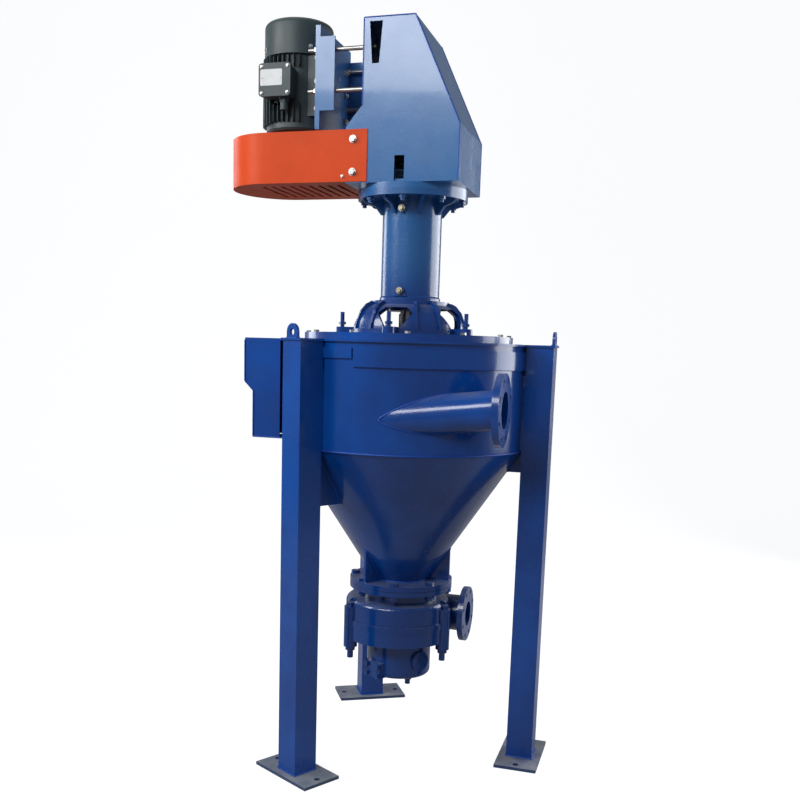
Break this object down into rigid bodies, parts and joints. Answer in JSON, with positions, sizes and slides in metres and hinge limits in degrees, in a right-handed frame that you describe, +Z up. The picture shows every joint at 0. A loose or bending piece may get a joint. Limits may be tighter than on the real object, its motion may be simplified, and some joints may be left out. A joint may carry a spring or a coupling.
{
  "type": "vertical froth slurry pump",
  "caption": "Vertical slurry pump for froth: a tank on three legs, the pump casing under it, and a bearing column with a belt drive and an upright motor above.",
  "frame": {"origin": "on the floor on the pump shaft's axis, at the centre of the three legs", "axes": "+Z up along the pump shaft, +X the way the inlet and discharge flanges face, -X the motor's side, -Y the side with the inlet"},
  "size_m": [1.3209, 1.183, 2.784],
  "materials": {
    "blue_tank": "gloss blue enamel on rolled plate",
    "blue_cast": "gloss blue enamel on castings",
    "blue_frame": "gloss blue enamel on legs and bracket",
    "foot_paint": "scuffed blue-grey enamel",
    "orange_guard": "satin orange enamel",
    "motor_grey": "satin dark grey enamel",
    "zinc": "zinc plated fasteners",
    "steel": "machined steel",
    "iron": "wear-resistant cast iron",
    "belt_rubber": "fabric-covered rubber",
    "gasket_rubber": "sheet rubber",
    "brass": "plain brass"
  },
  "bodies": {
    "frame": {"leg_right": "blue_frame", "leg_rear": "blue_frame", "leg_front": "blue_frame", "foot_right": "foot_paint", "foot_rear": "foot_paint", "foot_front": "foot_paint", "leg_webs": "blue_frame", "lifting_lugs": "blue_frame", "tank_wall": "blue_tank", "tank_cone": "blue_tank", "tank_top_plate": "blue_frame", "tank_cover": "blue_frame", "cover_bolts": "zinc", "overflow_box": "blue_tank", "inlet_pipe": "blue_tank", "outlet_flange": "blue_cast", "cone_ribs": "blue_frame", "outlet_gasket": "gasket_rubber", "outlet_bolts": "blue_cast", "casing_upper": "blue_cast", "casing_lower": "blue_cast", "casing_bolts": "blue_cast", "volute_liner": "iron", "drain_plug": "blue_cast", "cleanout_cover": "blue_cast", "bearing_pedestal": "blue_cast", "pedestal_bolts": "blue_cast", "bearing_column": "blue_cast", "shaft_bearings": "steel", "bearing_caps": "blue_cast", "grease_nipples": "brass", "column_bolts": "blue_cast", "bracket_base": "blue_frame", "bracket_side_front": "blue_frame", "bracket_side_rear": "blue_frame", "bracket_motor_plate": "blue_frame", "bracket_back_plate": "blue_frame", "bracket_top_plate": "blue_frame", "guard_wall": "orange_guard", "guard_lid": "orange_guard", "guard_floor": "orange_guard", "guard_bolts": "zinc", "tension_studs": "zinc", "v_belts": "belt_rubber"},
    "motor_carriage": {"motor_plate": "blue_frame", "plate_nuts": "zinc", "motor_frame": "motor_grey", "motor_shields": "motor_grey", "motor_bearings": "steel", "motor_stator": "iron", "motor_cowl": "motor_grey", "terminal_box": "motor_grey", "foot_bolts": "zinc"},
    "motor_rotor": {"motor_rotor": "steel", "motor_fan": "motor_grey", "motor_pulley": "iron"},
    "pump_rotor": {"pump_shaft": "steel", "impeller": "iron", "impeller_nut": "steel", "pump_pulley": "iron"}
  },
  "joints": [
    {"name": "belt_tension", "type": "slide", "parent": "frame", "child": "motor_carriage", "axis": [1, 0, 0], "range_m": [-0.015, 0.02], "deforming": ["v_belts"]},
    {"name": "motor_spin", "type": "hinge", "parent": "motor_carriage", "child": "motor_rotor", "pos_m": [-0.47, 0, 2.5], "axis": [0, 0, 1], "continuous": true},
    {"name": "pump_spin", "type": "hinge", "parent": "frame", "child": "pump_rotor", "pos_m": [0, 0, 1.5], "axis": [0, 0, 1], "continuous": true}
  ],
  "couplings": [
    {"joint": "motor_spin", "follows": "pump_spin", "ratio": 1.4933}
  ]
}
